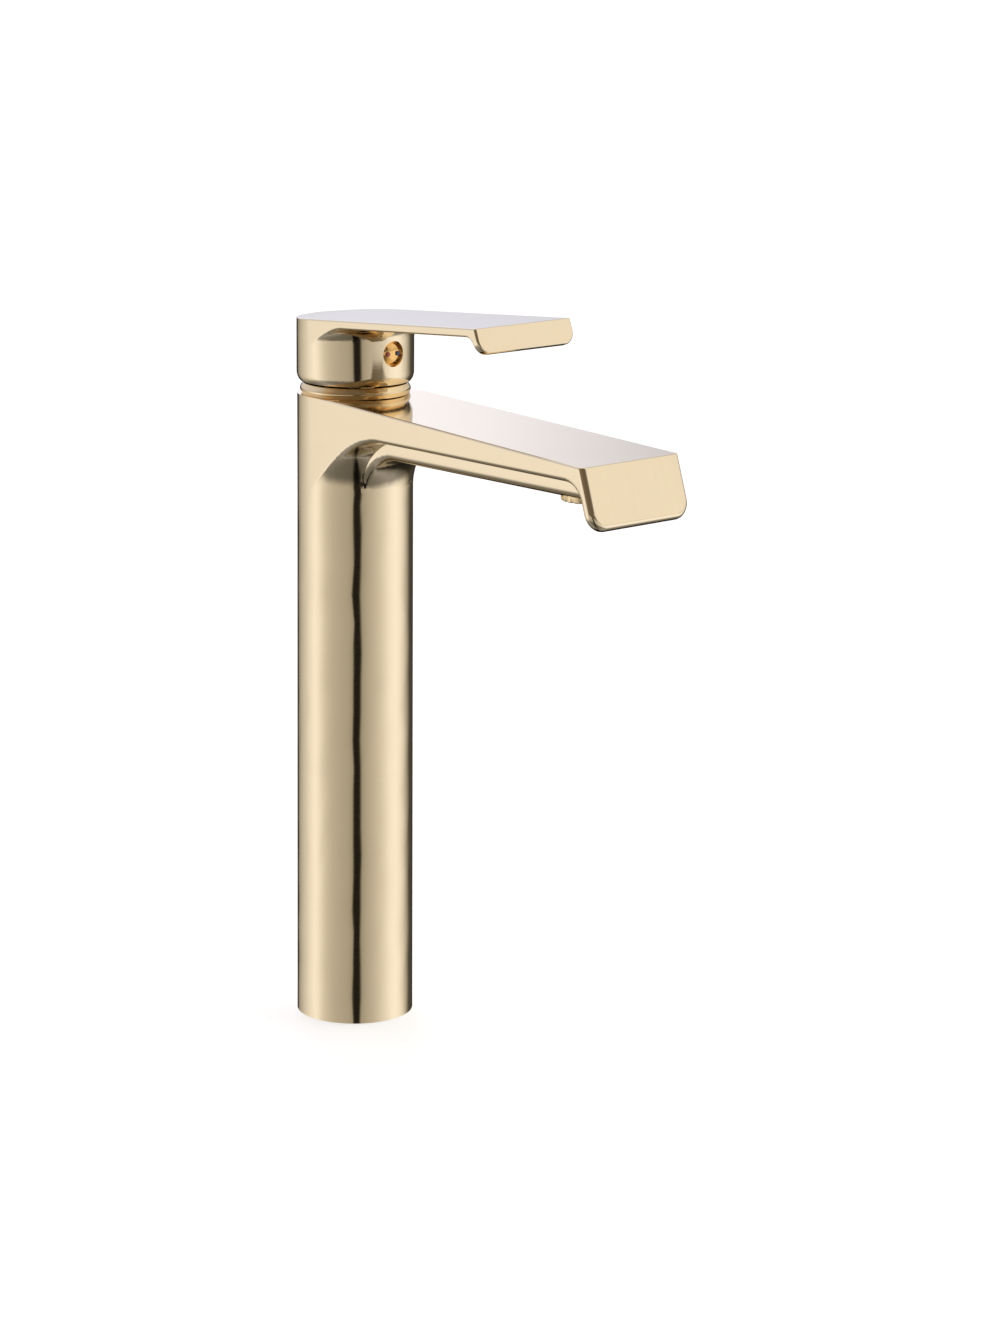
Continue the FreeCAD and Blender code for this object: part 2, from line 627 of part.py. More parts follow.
def make_aerator():
    centre = (0, -aerator_centre)
    housing = tube(aerator_radius, aerator_inner, aerator_bottom, aerator_top, *centre)
    lip = tube(aerator_radius, aerator_inner - aerator_lip, aerator_bottom, screen_bottom, *centre)
    parts["aerator_housing"] = housing.fuse(lip).removeSplitter()
    parts["aerator_gasket"] = tube(aerator_radius, feed_radius, aerator_top, aerator_seat, *centre)

    screen_top = screen_bottom + screen_height
    screen = rod(aerator_inner, screen_bottom, screen_top, *centre)
    count = int(screen_hole_reach / screen_pitch)
    steps = [i * screen_pitch for i in range(-count, count + 1)]
    spots = [(x, y) for x in steps for y in steps]
    spots = [(x, y) for x, y in spots if math.hypot(x, y) <= screen_hole_reach]
    low = screen_bottom - OVER
    high = screen_top + OVER
    holes = [rod(screen_hole_radius, low, high, x, y - aerator_centre) for x, y in spots]
    parts["outlet_screen"] = screen.cut(holes)

    diffuser = rod(aerator_inner, screen_top, diffuser_bottom + diffuser_height, *centre)
    jets = lambda x, y: rod(diffuser_hole_radius, screen_top - OVER, aerator_top, x, y)
    inside = aerator_inner - diffuser_skirt_wall
    parts["diffuser"] = diffuser.cut(
        [rod(inside, screen_top - OVER, diffuser_bottom, *centre)]
        + ring_of(jets, diffuser_inner_holes, inside / 3, *centre)
        + ring_of(jets, diffuser_outer_holes, inside * diffuser_outer_share, *centre))

    regulator_bottom = diffuser_bottom + diffuser_height
    ring_half = regulator_ring_thickness / 2
    groove_floor = aerator_top - regulator_ring_thickness
    groove = tube(regulator_ring_radius + ring_half + regulator_groove_side,
                  regulator_ring_radius - ring_half - regulator_groove_side,
                  groove_floor, aerator_top + OVER, *centre)
    drains = lambda x, y: rod(regulator_hole_radius, regulator_bottom - OVER, groove_floor + OVER, x, y)
    regulator = rod(aerator_inner, regulator_bottom, aerator_top, *centre).cut(groove)
    parts["flow_regulator"] = regulator.cut(ring_of(drains, regulator_holes, regulator_ring_radius, *centre))
    parts["regulator_ring"] = Part.makeTorus(
        regulator_ring_radius, ring_half, vec(0, -aerator_centre, aerator_top - ring_half), UP)


if __name__ == "__main__":
    os.makedirs("parts", exist_ok=True)
    parts["body_casting"] = make_body_casting()
    make_foot()
    make_trim_ring()
    make_cartridge()
    make_turret()
    make_lever()
    make_aerator()
    for name, shape in parts.items():
        shape.exportStep("parts/" + name + ".step")
        solids = len(shape.Solids)
        print(name, "valid" if shape.isValid() else "INVALID", solids, round(shape.Volume / 1000, 2), "cm3")
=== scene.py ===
"""A tall basin mixer in brushed gold: its finishes, its fine visible pieces and a small studio."""
import math

import bmesh
import bpy
import numpy as np
from mathutils import Matrix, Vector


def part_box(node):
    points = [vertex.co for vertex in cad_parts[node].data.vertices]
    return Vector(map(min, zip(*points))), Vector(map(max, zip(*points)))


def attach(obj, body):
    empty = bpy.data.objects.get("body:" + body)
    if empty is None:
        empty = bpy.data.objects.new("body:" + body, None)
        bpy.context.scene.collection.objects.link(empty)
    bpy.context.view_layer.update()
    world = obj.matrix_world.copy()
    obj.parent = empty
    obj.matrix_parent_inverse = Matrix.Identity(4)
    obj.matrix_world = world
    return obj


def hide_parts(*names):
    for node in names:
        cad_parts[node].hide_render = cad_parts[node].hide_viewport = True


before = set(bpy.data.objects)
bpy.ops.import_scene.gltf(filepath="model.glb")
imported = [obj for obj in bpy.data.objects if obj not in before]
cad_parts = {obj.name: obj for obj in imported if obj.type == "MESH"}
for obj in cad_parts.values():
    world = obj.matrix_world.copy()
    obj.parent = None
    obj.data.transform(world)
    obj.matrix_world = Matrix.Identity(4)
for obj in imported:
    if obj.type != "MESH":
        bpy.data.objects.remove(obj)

bl_info = {
    "name": "Basin mixer",
    "version": (1, 0, 0),
    "blender": (4, 5, 0),
    "location": "View3D > Sidebar > Basin mixer",
    "description": "Finishes and fine pieces of a tall single-lever basin mixer",
    "category": "Object",
}

MM = 0.001
TURN = 2 * math.pi

# Camera: azimuth from the front towards +X, distance from the column, height, aim and lens
CAMERA_AZIMUTH_DEG = -40.49
CAMERA_DISTANCE = 1.51278
CAMERA_HEIGHT = 0.50804
CAMERA_PITCH_DEG = 13.25
CAMERA_PAN_DEG = -2.34
CAMERA_ROLL_DEG = 0.58
CAMERA_LENS = 98.26
CAMERA_SENSOR = 36.0
CAMERA_REACH = 200.0           # metres

# Fine pieces, in millimetres
BODY_LIP_DEPTH = 9.0           # how far behind the tip the hair lines start to run down the lip
HANDLE_LIP_DEPTH = 4.5
RING_BORE = 17.2
RING_SPIGOT = 18.95
RING_HEIGHT = 4.6              # above the column's flat top
RING_BULGE_HEIGHT = 2.2
RING_FOOT_STEP = 0.7           # how far the ring's foot stands in from its bulge
BUTTON_STEM = 3.6
BUTTON_THICKNESS = 2.4
BUTTON_RIM = 0.6               # width of the rounded rim round the domed face
MARK_ROOT = 0.6                # how far each mark reaches into the button
AERATOR_WALL = 1.4
AERATOR_LIP = 3.2              # wall and inward lip together
AERATOR_LIP_HEIGHT = 1.2
AERATOR_RIM_HEIGHT = 1.9
NOTCHES = 20
NOTCH_STEPS = 480
SHARP_EDGE_DEG = 22.0          # edges of the castings sharper than this stay crisp
FLOOR_GLOW = 0.62

# Studio brightness by compass direction (degrees from the front, towards +X): two soft boxes, a black
# card beside the camera and black cards behind
STUDIO_BANDS = (
    (-198, 0.03), (-190, 0.30), (-176, 0.50), (-155, 0.72), (-141, 0.90), (-128, 1.02), (-118, 0.93),
    (-108, 0.75), (-98, 0.62), (-86, 0.53), (-70, 0.47), (-55, 0.43), (-46, 0.36), (-43, 0.012),
    (-31, 0.015), (-27, 0.36), (-16, 0.47), (-4, 0.55), (9, 0.67), (20, 0.80), (34, 0.97), (48, 1.04),
    (60, 0.95), (74, 0.70), (88, 0.32), (98, 0.08), (125, 0.04),
)
CEILING_BANDS = (
    (-198, 0.80), (-170, 0.80), (-140, 0.72), (-115, 0.45), (-90, 0.22), (-50, 0.14), (-10, 0.14),
    (12, 0.20), (26, 0.70), (40, 0.92), (70, 0.85), (110, 0.60), (130, 0.60), (134, 0.82),
    (136.5, 1.12), (139, 1.26), (150, 1.30),
)


# ---------------------------------------------------------------- shader expressions

class Wire:
    """One socket of a node tree, usable in Python sums and products."""

    def __init__(self, tree, socket):
        self.tree = tree
        self.socket = socket

    def combine(self, operation, *values):
        return Wire(self.tree, self.tree.new("ShaderNodeMath", {"operation": operation}, *values).outputs[0])

    def maths(self, operation, *others):
        return self.combine(operation, self, *others)

    def __add__(self, other):
        return self.combine("ADD", self, other)

    def __sub__(self, other):
        return self.combine("SUBTRACT", self, other)

    def __rsub__(self, other):
        return self.combine("SUBTRACT", other, self)

    def __mul__(self, other):
        return self.combine("MULTIPLY", self, other)

    def __truediv__(self, other):
        return self.combine("DIVIDE", self, other)

    __radd__ = __add__
    __rmul__ = __mul__

    def step(self, low, high):
        """0 below low, 1 above high and a smooth S between them."""
        smooth = {"interpolation_type": "SMOOTHSTEP"}
        return self.tree.wire("ShaderNodeMapRange", smooth, self, low, high, 0.0, 1.0)


class Tree:
    """The nodes of one material or of the world."""

    def __init__(self, owner):
        owner.use_nodes = True
        self.nodes = owner.node_tree.nodes
        self.links = owner.node_tree.links
        self.nodes.clear()

    def new(self, kind, settings=None, *values, **named):
        """Adds a node, sets its settings, then fills its sockets in order or by name with values or wires."""
        node = self.nodes.new(kind)
        for key, value in (settings or {}).items():
            setattr(node, key, value)
        pairs = list(zip(node.inputs, values))
        pairs += [(node.inputs[key.replace("_", " ")], value) for key, value in named.items()]
        for socket, value in pairs:
            if isinstance(value, Wire):
                self.links.new(value.socket, socket)
            elif value is not None:
                socket.default_value = value
        return node

    def wire(self, kind, settings=None, *values, output=0, **named):
        return Wire(self, self.new(kind, settings, *values, **named).outputs[output])

    def ramp(self, factor, stops):
        """A ramp of greys or colours at positions from 0 to 1."""
        node = self.new("ShaderNodeValToRGB", None, factor)
        elements = node.color_ramp.elements
        for _ in range(len(stops) - 2):
            elements.new(0.5)
        for element, (position, value) in zip(elements, stops):
            element.position = position
            element.color = (value, value, value, 1.0) if isinstance(value, float) else (*value, 1.0)
        return Wire(self, node.outputs[0])

    def axes(self, vector):
        node = self.new("ShaderNodeSeparateXYZ", None, vector)
        return [Wire(self, out) for out in node.outputs]

    def stretched(self, vector, x, y, z):
        """A vector multiplied axis by axis, for patterns that are longer one way than another."""
        return self.wire("ShaderNodeVectorMath", {"operation": "MULTIPLY"}, vector, (x, y, z))

    def noise(self, vector, scale, detail=2.0, roughness=0.5):
        return self.wire("ShaderNodeTexNoise", None, vector, Scale=scale, Detail=detail, Roughness=roughness)

    def blend(self, factor, first, second):
        """A colour between two colours."""
        node = self.new("ShaderNodeMix", {"data_type": "RGBA"})
        for socket, value in zip((node.inputs[0], node.inputs[6], node.inputs[7]), (factor, first, second)):
            if isinstance(value, Wire):
                self.links.new(value.socket, socket)
            else:
                socket.default_value = value if isinstance(value, float) else (*value, 1.0)
        return Wire(self, node.outputs[2])

    def bump(self, height, strength, distance):
        return self.wire("ShaderNodeBump", None, Strength=strength, Distance=distance, Height=height)

    def finish(self, **sockets):
        shader = self.new("ShaderNodeBsdfPrincipled", None, **sockets)
        self.new("ShaderNodeOutputMaterial", None, Wire(self, shader.outputs[0]))


def fresh_material(name):
    material = bpy.data.materials.new(name)
    tree = Tree(material)
    place = tree.wire("ShaderNodeTexCoord", output=3)
    return material, tree, place


# ---------------------------------------------------------------- finishes

def brushed_gold(name, tint, lip_start):
    """Gold plating with hair lines: level rings round the column and hub, lines down the front lip."""
    material, tree, place = fresh_material(name)
    _, y, _ = tree.axes(place)
    on_lip = (y * -1).step(lip_start, lip_start + 0.4 * MM)
    streaks = tree.noise(tree.stretched(place, 9, 9, 620), 1.0, 4.0, 0.65)
    rings = tree.noise(tree.stretched(place, 20, 20, 2600), 1.0, 3.0, 0.6) * 0.5 + streaks * 0.5
    down_lines = tree.noise(tree.stretched(place, 1500, 20, 20), 1.0, 4.0, 0.65)
    lines = rings * (1 - on_lip) + down_lines * on_lip
    clouds = tree.noise(place, 22.0, 2.0)
    pale = tuple(min(1.0, c * 1.05) for c in tint)
    deep = tuple(c * 0.91 for c in tint)
    colour = tree.blend(lines * 0.6 + clouds * 0.4, deep, pale)
    roughness = 0.03 + lines * 0.09 + clouds * 0.03
    normal = tree.bump(lines, 0.22, 0.02 * MM)
    tree.finish(Base_Color=colour, Metallic=1.0, Roughness=roughness, Normal=normal)
    return material


def polished_gold(name, tint, roughness_low):
    """Gold plating buffed bright, with faint polishing haze."""
    material, tree, place = fresh_material(name)
    haze = tree.noise(place, 90.0, 3.0)
    fine = tree.noise(tree.stretched(place, 300, 300, 2200), 1.0, 2.0)
    colour = tree.blend(haze, tuple(c * 0.95 for c in tint), tint)
    tree.finish(Base_Color=colour, Metallic=1.0, Roughness=roughness_low + haze * 0.05 + fine * 0.03,
                Normal=tree.bump(fine, 0.08, 0.01 * MM))
    return material


def turned_metal(name, tint, pitch_mm, roughness):
    """Bare metal with the fine rings that a lathe leaves."""
    material, tree, place = fresh_material(name)
    _, _, z = tree.axes(place)
    wave = (z * (TURN / (pitch_mm * MM))).maths("SINE") * 0.5 + 0.5
    stain = tree.noise(place, 60.0, 4.0)
    colour = tree.blend(stain, tuple(c * 0.8 for c in tint), tint)
    tree.finish(Base_Color=colour, Metallic=1.0, Roughness=roughness + stain * 0.15,
                Normal=tree.bump(wave, 0.2, 0.01 * MM))
    return material


def moulded(name, tint, roughness, grain_scale, coat=0.0):
    """Plastic, rubber or ceramic with a fine moulded or ground grain."""
    material, tree, place = fresh_material(name)
    grain = tree.noise(place, grain_scale, 3.0)
    shade = tree.noise(place, 70.0, 2.0)
    colour = tree.blend(shade, tuple(c * 0.86 for c in tint), tint)
    tree.finish(Base_Color=colour, Roughness=roughness + grain * 0.12, Coat_Weight=coat,
                Normal=tree.bump(grain, 0.15, 0.02 * MM))
    return material


# ---------------------------------------------------------------- surfaces

def rounded_profile(corners, per_arc=6):
    """Turns (radius, height, fillet) corners in millimetres into a dense closed outline.

    Each corner is replaced by an arc of its fillet radius, tangent to both of its sides; the arc's points are
    centre + fillet * (cos a, sin a) for evenly spaced a."""
    points = np.array([c[:2] for c in corners], float)
    out = []
    neighbours = zip(points, np.roll(points, 1, 0), np.roll(points, -1, 0), corners)
    for here, before, after, (_, _, fillet) in neighbours:
        back = (before - here) / np.linalg.norm(before - here)
        ahead = (after - here) / np.linalg.norm(after - here)
        if fillet == 0:
            out.append(here[None])
            continue
        half = math.acos(np.clip(back @ ahead, -1, 1)) / 2
        middle = (back + ahead) / np.linalg.norm(back + ahead)
        centre = here + middle * fillet / math.sin(half)
        first = here + back * fillet / math.tan(half) - centre
        last = here + ahead * fillet / math.tan(half) - centre
        share = np.linspace(0, 1, per_arc + 1)[:, None]
        sweep = math.pi - 2 * half
        arc = (first * np.sin((1 - share) * sweep) + last * np.sin(share * sweep)) / math.sin(sweep)
        out.append(centre + arc)
    return np.concatenate(out)


def lathe(profile, steps, wobble=None):
    """A closed outline carried round Z: point (r, z) becomes (r cos t, r sin t, z) for t from 0 to a turn.

    wobble(t, r, z) may return a radial change for every grid point. Returns millimetre vertices and quads."""
    turns = np.linspace(0, TURN, steps, endpoint=False)[:, None]
    radius = np.broadcast_to(profile[:, 0], (steps, len(profile)))
    height = np.broadcast_to(profile[:, 1], (steps, len(profile)))
    if wobble is not None:
        radius = radius + wobble(turns, radius, height)
    vertices = np.stack([radius * np.cos(turns), radius * np.sin(turns), height], -1).reshape(-1, 3)
    i, j = np.meshgrid(np.arange(steps), np.arange(len(profile)), indexing="ij")
    count = len(profile)
    i2, j2 = (i + 1) % steps, (j + 1) % count
    quads = np.stack([i * count + j, i2 * count + j, i2 * count + j2, i * count + j2], -1).reshape(-1, 4)
    return vertices, quads


def dome(profile, steps):
    """An open outline that starts and ends on the axis, carried round it, with one vertex at each pole."""
    ring = profile[1:-1]
    vertices, quads = lathe(ring, steps)
    count = len(ring)
    quads = quads.reshape(steps, count, 4)[:, :-1].reshape(-1, 4)
    start, end = len(vertices), len(vertices) + 1
    vertices = np.vstack([vertices, [0, 0, profile[0, 1]], [0, 0, profile[-1, 1]]])
    i = np.arange(steps)
    i2 = (i + 1) % steps
    low = np.stack([i * count, np.full(steps, start), i2 * count], -1)
    high = np.stack([i * count + count - 1, i2 * count + count - 1, np.full(steps, end)], -1)
    return vertices, [*map(tuple, quads.tolist()), *map(tuple, low.tolist()), *map(tuple, high.tolist())]


def add_piece(name, vertices, faces, body, material, replaces=(), sharp_deg=32.0):
    """Puts computed vertices, in millimetres, into a smooth-shaded mesh that rides on a body."""
    mesh = bpy.data.meshes.new(name)
    mesh.from_pydata((np.asarray(vertices) * MM).tolist(), [], [tuple(f) for f in faces])
    return place_mesh(name, mesh, body, material, replaces, sharp_deg)


def place_mesh(name, mesh, body, material, replaces, sharp_deg):
    work = bmesh.new()
    work.from_mesh(mesh)
    bmesh.ops.remove_doubles(work, verts=work.verts, dist=0.002 * MM)
    bmesh.ops.dissolve_degenerate(work, edges=work.edges, dist=0.001 * MM)
    bmesh.ops.recalc_face_normals(work, faces=work.faces)
    limit = math.radians(sharp_deg)
    for edge in work.edges:
        edge.smooth = len(edge.link_faces) == 2 and edge.calc_face_angle(0) < limit
    for face in work.faces:
        face.smooth = True
        face.material_index = 0
    work.to_mesh(mesh)
    work.free()
    mesh.materials.clear()
    mesh.materials.append(material)
    piece = bpy.data.objects.new(name, mesh)
    bpy.context.scene.collection.objects.link(piece)
    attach(piece, body)
    if replaces:
        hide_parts(*replaces)
    return piece


def smooth_casting(name, node, body, material, sharp_deg):
    """The casting's own outline, welded and shaded smooth, so that its plating reflects without facets."""
    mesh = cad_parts[node].data.copy()
    piece = place_mesh(name, mesh, body, material, (node,), sharp_deg)
    weighted = piece.modifiers.new("even shading", "WEIGHTED_NORMAL")
    weighted.keep_sharp = True
    weighted.weight = 60
    return piece


def middle_of(node):
    low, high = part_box(node)
    return [(a + b) / 2 / MM for a, b in zip(low, high)]


def laid_forward(vertices, x, y, z):
    """Turns a shape drawn about +Z to face the front (-Y), with its zero height at y."""
    v = np.asarray(vertices)
    return np.stack([v[:, 0] + x, y - v[:, 2], v[:, 1] + z], -1)


# ---------------------------------------------------------------- settings

class MixerFinish(bpy.types.PropertyGroup):
    """Colours of the visible finishes, and how finely the turned pieces are drawn."""

    plating: bpy.props.FloatVectorProperty(
        name="Plating", description="Colour of the brushed gold", subtype="COLOR", size=3, min=0, max=1,
        default=(0.975, 0.805, 0.565))
    polish: bpy.props.FloatVectorProperty(
        name="Polish", description="Colour of the polished gold", subtype="COLOR", size=3, min=0, max=1,
        default=(0.98, 0.76, 0.46))
    hot: bpy.props.FloatVectorProperty(
        name="Hot mark", description="Colour of the hot mark", subtype="COLOR", size=3, min=0, max=1,
        default=(0.50, 0.015, 0.012))
    cold: bpy.props.FloatVectorProperty(
        name="Cold mark", description="Colour of the cold mark", subtype="COLOR", size=3, min=0, max=1,
        default=(0.012, 0.02, 0.09))
    steps: bpy.props.IntProperty(
        name="Steps", description="Divisions round each turned piece", default=192, min=48, max=512)


class MixerSizes(bpy.types.PropertyGroup):
    """Sizes of the fine pieces, in millimetres."""

    ring_bulge: bpy.props.FloatProperty(
        name="Ring bulge", description="Radius of the trim ring at its widest", default=23.4,
        min=20, max=24)
    ring_top: bpy.props.FloatProperty(
        name="Ring top", description="Radius of the trim ring's top edge", default=22.0, min=20, max=24)
    button_crown: bpy.props.FloatProperty(
        name="Button crown", description="How far the index button's face is domed", default=0.9,
        min=0, max=1)
    mark_crown: bpy.props.FloatProperty(
        name="Mark crown", description="How far each enamel mark is domed", default=0.12, min=0, max=1)
    notch_depth: bpy.props.FloatProperty(
        name="Notch depth", description="Depth of the key notches in the aerator's rim", default=0.55,
        min=0, max=1)


class Stage(bpy.types.PropertyGroup):
    """The studio round the tap."""

    brightness: bpy.props.FloatProperty(
        name="Brightness", description="Strength of the soft boxes", default=1.0, min=0, max=5)
    floor_size: bpy.props.FloatProperty(
        name="Floor size", description="Half width of the pale floor", default=30.0, min=1, max=100,
        unit="LENGTH")


# ---------------------------------------------------------------- operators

class MIXER_OT_castings(bpy.types.Operator):
    """Plates the two castings that make the tap's outline: the body with its spout, and the handle"""
    bl_idname = "mixer.castings"
    bl_label = "Castings"

    def execute(self, context):
        finish = context.scene.mixer_finish
        tint = tuple(finish.plating)
        lip = -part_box("body_casting")[0][1] - BODY_LIP_DEPTH * MM
        body_gold = brushed_gold("brushed_gold_body", tint, lip)
        smooth_casting("tap_body", "body_casting", "body", body_gold, SHARP_EDGE_DEG)
        lip = -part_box("handle")[0][1] - HANDLE_LIP_DEPTH * MM
        handle_gold = brushed_gold("brushed_gold_handle", tint, lip)
        smooth_casting("lever_handle", "handle", "lever", handle_gold, SHARP_EDGE_DEG)
        return {"FINISHED"}


class MIXER_OT_trim_ring(bpy.types.Operator):
    """Turns the bright trim ring that sits between the column and the handle"""
    bl_idname = "mixer.trim_ring"
    bl_label = "Trim ring"

    def execute(self, context):
        sizes, finish = context.scene.mixer_sizes, context.scene.mixer_finish
        low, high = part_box("trim_ring")
        bottom, top = low[2] / MM, high[2] / MM
        seat = top - RING_HEIGHT
        bulge, crown = sizes.ring_bulge, sizes.ring_top
        outline = rounded_profile([
            (RING_BORE, bottom, 0.3), (RING_SPIGOT, bottom, 0.3), (RING_SPIGOT, seat, 0),
            (bulge - RING_FOOT_STEP, seat, 0.25), (bulge, seat + RING_BULGE_HEIGHT, 2.0),
            (crown, top, 0.5), (RING_BORE, top, 0.4)], 8)
        vertices, quads = lathe(outline, finish.steps)
        gold = polished_gold("polished_gold_ring", tuple(finish.polish), 0.06)
        add_piece("bright_trim_ring", vertices, quads, "body", gold, ("trim_ring",))
        return {"FINISHED"}


class MIXER_OT_index_button(bpy.types.Operator):
    """Makes the domed index button in the hub with its red and blue enamel marks"""
    bl_idname = "mixer.index_button"
    bl_label = "Index button"

    def execute(self, context):
        sizes, finish = context.scene.mixer_sizes, context.scene.mixer_finish
        low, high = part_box("index_button")
        face, depth = low[1] / MM, (high[1] - low[1]) / MM
        radius = (high[0] - low[0]) / 2 / MM
        _, _, centre = middle_of("index_button")
        crown = sizes.button_crown
        share = np.linspace(1, 0, 14)[:, None]
        cap = np.hstack([share * (radius - BUTTON_RIM), crown * (1 - share ** 2) - crown])
        edge = rounded_profile([
            (BUTTON_STEM, -depth, 0.2), (BUTTON_STEM, -BUTTON_THICKNESS, 0),
            (radius, -BUTTON_THICKNESS, 0.15), (radius, -crown, 0.45), (radius - BUTTON_RIM, -crown, 0)], 5)
        outline = np.vstack([[0, -depth], edge, cap[1:]])
        vertices, faces = dome(outline, 96)
        gold = polished_gold("polished_gold_button", (0.93, 0.56, 0.20), 0.05)
        add_piece("index_button_cap", laid_forward(vertices, 0, face, centre), faces, "lever", gold,
                  ("index_button",))
        for node, tint in (("hot_mark", finish.hot), ("cold_mark", finish.cold)):
            self.mark(node, tuple(tint), sizes.mark_crown)
        return {"FINISHED"}

    def mark(self, node, tint, crown):
        low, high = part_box(node)
        across, _, up = middle_of(node)
        radius = (high[0] - low[0]) / 2 / MM
        height = (high[1] - low[1]) / MM
        share = np.linspace(1, 0, 8)[:, None]
        cap = np.hstack([share * radius, (height - crown) + crown * (1 - share ** 2)])
        outline = np.vstack([[0, -MARK_ROOT], [radius, -MARK_ROOT], cap])
        vertices, faces = dome(outline, 48)
        enamel = moulded("enamel_" + node, tint, 0.12, 400, 0.6)
        add_piece(node + "_enamel", laid_forward(vertices, across, high[1] / MM, up), faces, "lever", enamel,
                  (node,))


class MIXER_OT_aerator(bpy.types.Operator):
    """Turns the aerator's housing, with the key notches round its rim"""
    bl_idname = "mixer.aerator"
    bl_label = "Aerator"

    def execute(self, context):
        sizes, finish = context.scene.mixer_sizes, context.scene.mixer_finish
        low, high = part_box("aerator_housing")
        bottom, top = low[2] / MM, high[2] / MM
        radius = (high[0] - low[0]) / 2 / MM
        x, y, _ = middle_of("aerator_housing")
        inner, mouth, ledge = radius - AERATOR_WALL, radius - AERATOR_LIP, bottom + AERATOR_LIP_HEIGHT
        outline = rounded_profile([
            (inner, top, 0.1), (inner, ledge, 0.1), (mouth, ledge, 0.1), (mouth, bottom, 0.35),
            (radius, bottom, 0.5), (radius, bottom + AERATOR_RIM_HEIGHT, 0), (radius, top, 0.2)], 5)
        depth = sizes.notch_depth

        def notches(turns, r, z):
            cut = 1 / (1 + np.exp((np.cos(turns * NOTCHES) + 0.1) * 12))
            rim = 1 / (1 + np.exp((z - bottom - 1.7) * 9))
            return -depth * cut * rim * (r > radius - 0.9)

        vertices, quads = lathe(outline, NOTCH_STEPS, notches)
        vertices = vertices + [x, y, 0]
        gold = polished_gold("polished_gold_aerator", tuple(finish.polish), 0.10)
        add_piece("aerator_ring", vertices, quads, "body", gold, ("aerator_housing",))
        return {"FINISHED"}


class MIXER_OT_inner_parts(bpy.types.Operator):
    """Gives every inner part its own finish: bare brass, steel, ceramic, rubber and moulded plastic"""
    bl_idname = "mixer.inner_parts"
    bl_label = "Inner parts"

    def execute(self, context):
        brass = turned_metal("turned_brass", (0.80, 0.62, 0.34), 0.35, 0.22)
        steel = turned_metal("turned_steel", (0.62, 0.62, 0.62), 0.25, 0.2)
        rubber = moulded("black_rubber", (0.022, 0.022, 0.024), 0.55, 900)
        ceramic = moulded("lapped_ceramic", (0.86, 0.85, 0.81), 0.12, 1600, 0.3)
        white = moulded("white_acetal", (0.80, 0.80, 0.77), 0.38, 700)
        black = moulded("black_acetal", (0.035, 0.035, 0.038), 0.36, 700)
        red = moulded("red_acetal", (0.50, 0.04, 0.03), 0.34, 700)
        finishes = {
            "foot_insert": brass, "foot_gasket": rubber, "cartridge_nut": brass, "cartridge_housing": white,
            "cartridge_base": black, "port_seals": rubber, "fixed_disc": ceramic, "moving_disc": ceramic,
            "temperature_limiter": red, "turret": black, "turret_seal": rubber, "pivot_pin": steel,
            "disc_carrier": white, "spindle": brass, "grub_screw": steel, "aerator_gasket": rubber,
            "outlet_screen": white, "diffuser": white, "flow_regulator": black, "regulator_ring": rubber,
        }
        for node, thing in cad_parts.items():
            material = finishes.get(node)
            if material is None:
                continue
            for slot in thing.material_slots:
                slot.material = material
        return {"FINISHED"}


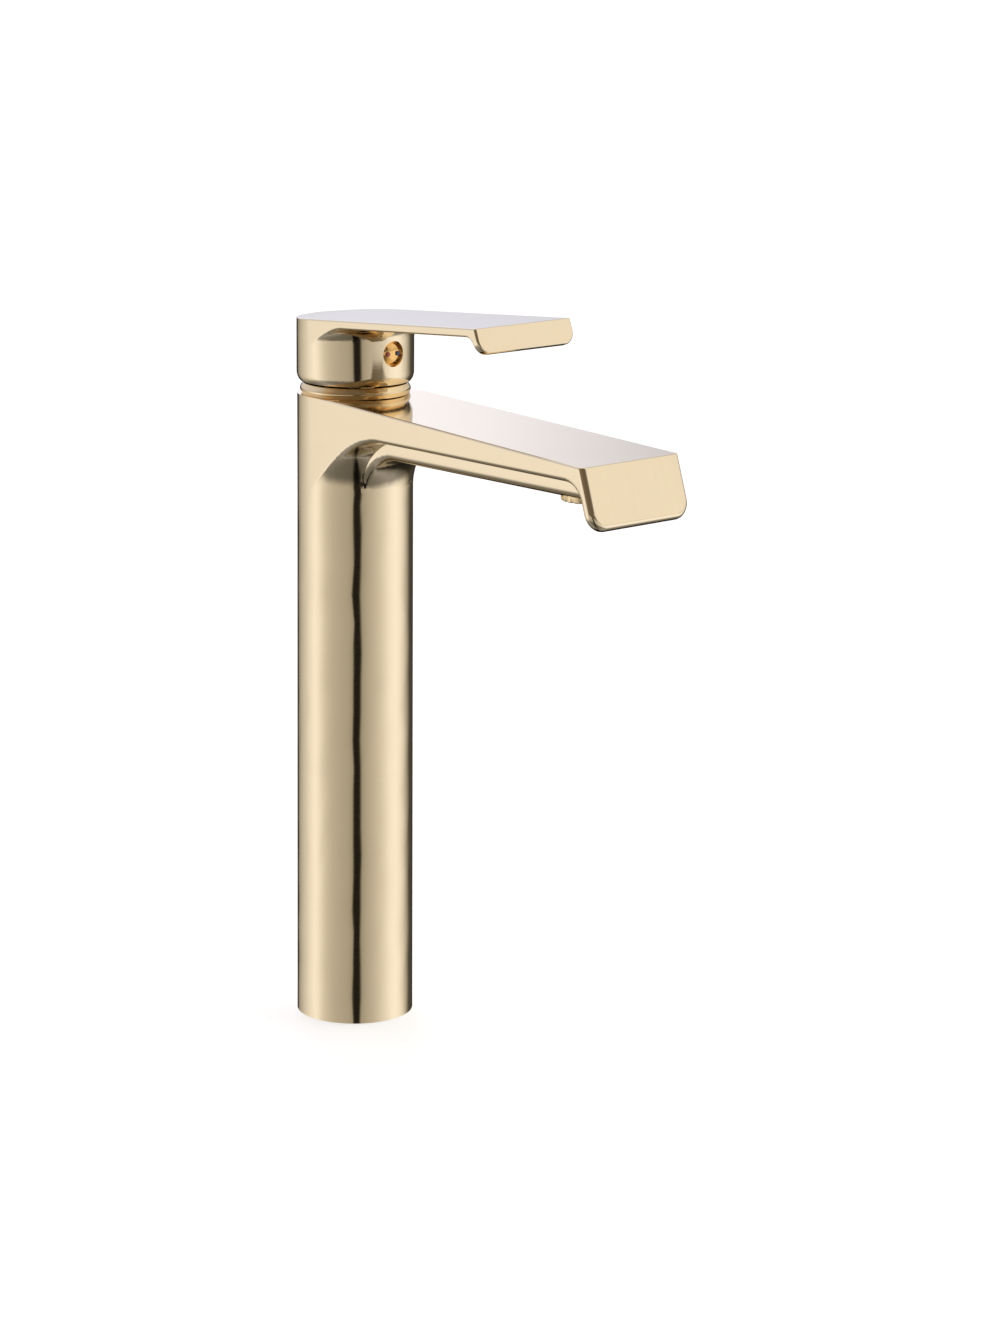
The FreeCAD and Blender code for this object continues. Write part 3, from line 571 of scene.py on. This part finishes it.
class MIXER_OT_studio(bpy.types.Operator):
    """Lays the pale floor, sets the soft boxes and black cards, and places the camera"""
    bl_idname = "mixer.studio"
    bl_label = "Studio"

    def execute(self, context):
        stage = context.scene.mixer_stage
        half = stage.floor_size
        mesh = bpy.data.meshes.new("studio_floor")
        corners = [(-half, -half, 0), (half, -half, 0), (half, half, 0), (-half, half, 0)]
        mesh.from_pydata(corners, [], [(0, 1, 2, 3)])
        floor = bpy.data.objects.new("studio_floor", mesh)
        context.scene.collection.objects.link(floor)
        material, tree, place = fresh_material("pale_floor")
        tone = tree.noise(place, 3.0)
        colour = tree.blend(tone, (0.90, 0.90, 0.90), (0.93, 0.93, 0.93))
        white = (1, 1, 1, 1)
        tree.finish(Base_Color=colour, Roughness=0.9, Emission_Color=white, Emission_Strength=FLOOR_GLOW)
        mesh.materials.append(material)
        floor.visible_glossy = False
        self.surroundings(context.scene, stage.brightness)
        self.camera(context.scene)
        context.scene.view_settings.view_transform = "Standard"
        return {"FINISHED"}

    def surroundings(self, scene, brightness):
        """The studio as brightness by direction: bands at eye level and below, a soft ceiling above."""
        world = bpy.data.worlds.new("studio")
        scene.world = world
        tree = Tree(world)
        direction = tree.wire("ShaderNodeTexCoord", output=0)
        x, y, z = tree.axes(direction)
        compass = x.maths("ARCTAN2", y * -1) / TURN
        bands = self.around(tree, compass, STUDIO_BANDS)
        ceiling = self.around(tree, compass, CEILING_BANDS)
        warm = tree.blend(bands, (1.0, 0.93, 0.76), (1.0, 1.0, 1.02))
        tawny = tree.blend(x.step(-0.3, 0.3), (1.0, 0.80, 0.58), (1.0, 0.98, 0.95))
        cool = tree.blend(y.step(0.2, 0.6), tawny, (0.84, 0.88, 1.04))
        ceiling = ceiling * (0.76 + z.step(0.04, 0.16) * 0.24)
        raised = z.step(-0.03, 0.03)
        lit_below = 0.30 + z.step(-0.66, -0.36) * 0.70
        strength = bands * lit_below * (1 - raised) + ceiling * raised
        colour = tree.blend(raised, warm, cool)
        shade = tree.wire("ShaderNodeBackground", None, colour, strength * brightness)
        tree.new("ShaderNodeOutputWorld", None, shade)

    def around(self, tree, compass, bands):
        """Brightness round the compass, from (degrees, brightness) pairs that start at their lowest angle."""
        first = bands[0][0]
        stops = [((angle - first) / 360.0, float(value)) for angle, value in bands]
        stops.append((1.0, float(bands[0][1])))
        colour = tree.ramp((compass - first / 360.0).maths("FRACT"), stops)
        return tree.wire("ShaderNodeRGBToBW", None, colour)

    def camera(self, scene):
        azimuth = math.radians(CAMERA_AZIMUTH_DEG)
        aim = azimuth + math.radians(CAMERA_PAN_DEG)
        pitch = math.radians(CAMERA_PITCH_DEG)
        roll = math.radians(CAMERA_ROLL_DEG)
        flat = math.cos(pitch)
        forward = np.array([-math.sin(aim) * flat, math.cos(aim) * flat, -math.sin(pitch)])
        right = np.array([math.cos(aim), math.sin(aim), 0])
        up = np.cross(right, forward)
        level = right * math.cos(roll) + up * math.sin(roll)
        upright = up * math.cos(roll) - right * math.sin(roll)
        place = [math.sin(azimuth) * CAMERA_DISTANCE, -math.cos(azimuth) * CAMERA_DISTANCE, CAMERA_HEIGHT]
        data = bpy.data.cameras.new("camera")
        data.lens = CAMERA_LENS
        data.sensor_width = CAMERA_SENSOR
        data.sensor_height = CAMERA_SENSOR
        data.sensor_fit = "AUTO"
        data.clip_end = CAMERA_REACH
        camera = bpy.data.objects.new("camera", data)
        matrix = np.eye(4)
        matrix[:3, 0], matrix[:3, 1], matrix[:3, 2], matrix[:3, 3] = level, upright, -forward, place
        scene.collection.objects.link(camera)
        camera.matrix_world = Matrix(matrix.tolist())
        scene.camera = camera


class MIXER_PT_sidebar(bpy.types.Panel):
    """Lists the tap's settings and the buttons that make its pieces"""
    bl_idname = "MIXER_PT_sidebar"
    bl_label = "Basin mixer"
    bl_space_type = "VIEW_3D"
    bl_region_type = "UI"
    bl_category = "Basin mixer"

    def draw(self, context):
        for settings in (context.scene.mixer_finish, context.scene.mixer_sizes, context.scene.mixer_stage):
            for name in settings.__annotations__:
                self.layout.prop(settings, name)
        for operator in OPERATORS:
            self.layout.operator(operator.bl_idname)


OPERATORS = (MIXER_OT_castings, MIXER_OT_trim_ring, MIXER_OT_index_button, MIXER_OT_aerator,
             MIXER_OT_inner_parts, MIXER_OT_studio)
SETTINGS = {"mixer_finish": MixerFinish, "mixer_sizes": MixerSizes, "mixer_stage": Stage}
CLASSES = (*SETTINGS.values(), *OPERATORS, MIXER_PT_sidebar)


def register():
    for item in CLASSES:
        bpy.utils.register_class(item)
    for name, group in SETTINGS.items():
        setattr(bpy.types.Scene, name, bpy.props.PointerProperty(type=group))


def unregister():
    for name in SETTINGS:
        delattr(bpy.types.Scene, name)
    for item in reversed(CLASSES):
        bpy.utils.unregister_class(item)


def main():
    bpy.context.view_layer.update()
    register()
    bpy.ops.mixer.castings()
    bpy.ops.mixer.trim_ring()
    bpy.ops.mixer.index_button()
    bpy.ops.mixer.aerator()
    bpy.ops.mixer.inner_parts()
    bpy.ops.mixer.studio()


if __name__ == "__main__":
    main()
